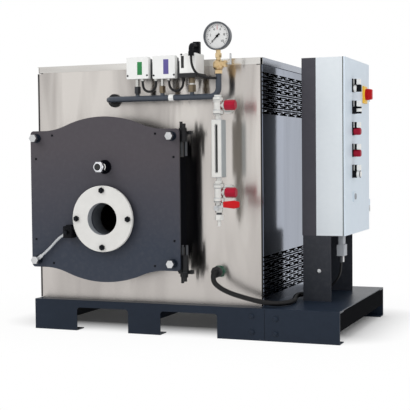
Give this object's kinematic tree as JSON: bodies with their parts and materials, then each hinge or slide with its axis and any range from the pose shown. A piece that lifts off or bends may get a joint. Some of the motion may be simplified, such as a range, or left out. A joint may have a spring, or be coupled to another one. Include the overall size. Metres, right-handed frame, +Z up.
{
  "type": "industrial steam boiler",
  "caption": "Skid-mounted fire-tube steam boiler with stainless casing, hinged burner door, level and pressure gauges, and a side control cabinet on a pedestal.",
  "frame": {"origin": "on the floor under the middle of the whole plant", "axes": "+Z up, the burner door faces -Y, the control cabinet stands at +X"},
  "size_m": [1.271, 0.964, 1.192],
  "materials": {
    "skid_paint": "satin dark blue-grey paint",
    "stainless": "brushed stainless sheet",
    "smoke_box_paint": "heat-resistant near-black paint",
    "boiler_steel": "heat-stained steel",
    "door_paint": "satin dark grey paint",
    "refractory": "cast refractory",
    "flange_grey": "pale grey paint",
    "zinc": "zinc plated",
    "header_paint": "slate paint",
    "black_rubber": "matt black",
    "device_grey": "light grey moulding",
    "gauge_grey": "satin grey",
    "dial_white": "matt white",
    "brass": "machined brass",
    "cock_grey": "cast and coated light grey",
    "red_plastic": "gloss red",
    "dark_glass": "dark reflex glass",
    "post_paint": "dark grey paint",
    "cabinet_paint": "light grey textured paint",
    "device_black": "black",
    "yellow": "yellow"
  },
  "bodies": {
    "boiler": {"cabinet_gland_box": "device_grey", "cabinet_hinge_pins": "zinc", "cabinet_mounting_plate": "zinc", "cabinet_pedestal": "post_paint", "cabinet_post": "post_paint", "casing_front_panel": "stainless", "casing_left_panel": "stainless", "casing_rear_panel": "stainless", "casing_right_panel": "stainless", "casing_roof": "stainless", "conduit_hose": "black_rubber", "control_cabinet": "cabinet_paint", "drain_cock": "cock_grey", "extension_rails": "skid_paint", "flue_spigot": "smoke_box_paint", "front_tube_plate": "boiler_steel", "furnace_tube": "boiler_steel", "gauge_cock": "brass", "gauge_dial": "dial_white", "header_grommet": "black_rubber", "hinge_brackets": "smoke_box_paint", "hose_gland": "black_rubber", "level_glass": "dark_glass", "level_glass_housing": "cock_grey", "lower_gauge_cock": "cock_grey", "pedestal_cable": "black_rubber", "pressure_gauge": "gauge_grey", "pressure_header": "header_paint", "pressure_switch_high": "device_grey", "pressure_switch_low": "device_grey", "pressure_transmitter": "device_grey", "rear_nozzles": "boiler_steel", "skid_cross_beams": "skid_paint", "skid_deck": "skid_paint", "skid_front_rail": "skid_paint", "skid_rear_rail": "skid_paint", "smoke_box": "smoke_box_paint", "smoke_tubes": "boiler_steel", "switch_cable_loop": "black_rubber", "transmitter_cable": "black_rubber", "transmitter_cable_loop": "black_rubber", "transmitter_plug": "black_rubber", "upper_gauge_cock": "cock_grey", "vessel_shell": "boiler_steel"},
    "burner_door": {"burner_door_plate": "door_paint", "burner_door_lining": "refractory", "burner_flange": "flange_grey", "sight_port": "zinc", "door_bolts": "zinc", "door_hinge_knuckles": "door_paint", "door_braided_hose": "zinc"},
    "control_cabinet_door": {"cabinet_door": "cabinet_paint", "control_devices": "device_black", "main_switch_plate": "yellow"},
    "main_switch": {"main_switch_knob": "red_plastic"},
    "upper_cock_handle": {"upper_cock_knob": "red_plastic"},
    "lower_cock_handle": {"lower_cock_knob": "red_plastic"},
    "drain_handle": {"drain_lever": "red_plastic"},
    "gauge_cock_handle": {"gauge_cock_lever": "brass"}
  },
  "joints": [
    {"name": "burner_door_hinge", "type": "hinge", "parent": "boiler", "child": "burner_door", "pos_m": [0.044, -0.39, 0.5285], "axis": [0, 0, 1], "range_deg": [0, 100]},
    {"name": "cabinet_door_hinge", "type": "hinge", "parent": "boiler", "child": "control_cabinet_door", "pos_m": [0.5915, 0.337, 0.725], "axis": [0, 0, 1], "range_deg": [0, 110]},
    {"name": "main_switch_turn", "type": "hinge", "parent": "control_cabinet_door", "child": "main_switch", "pos_m": [0.598, 0.236, 0.942], "axis": [1, 0, 0], "range_deg": [0, 90]},
    {"name": "upper_cock_turn", "type": "hinge", "parent": "boiler", "child": "upper_cock_handle", "pos_m": [0.222, -0.415, 0.88], "axis": [1, 0, 0], "range_deg": [0, 90]},
    {"name": "lower_cock_turn", "type": "hinge", "parent": "boiler", "child": "lower_cock_handle", "pos_m": [0.222, -0.415, 0.557], "axis": [1, 0, 0], "range_deg": [0, 90]},
    {"name": "drain_lever_turn", "type": "hinge", "parent": "boiler", "child": "drain_handle", "pos_m": [0.194, -0.442, 0.5], "axis": [0, 1, 0], "range_deg": [0, 90]},
    {"name": "gauge_cock_turn", "type": "hinge", "parent": "boiler", "child": "gauge_cock_handle", "pos_m": [0.205, -0.375, 1.036], "axis": [1, 0, 0], "range_deg": [0, 90]}
  ]
}
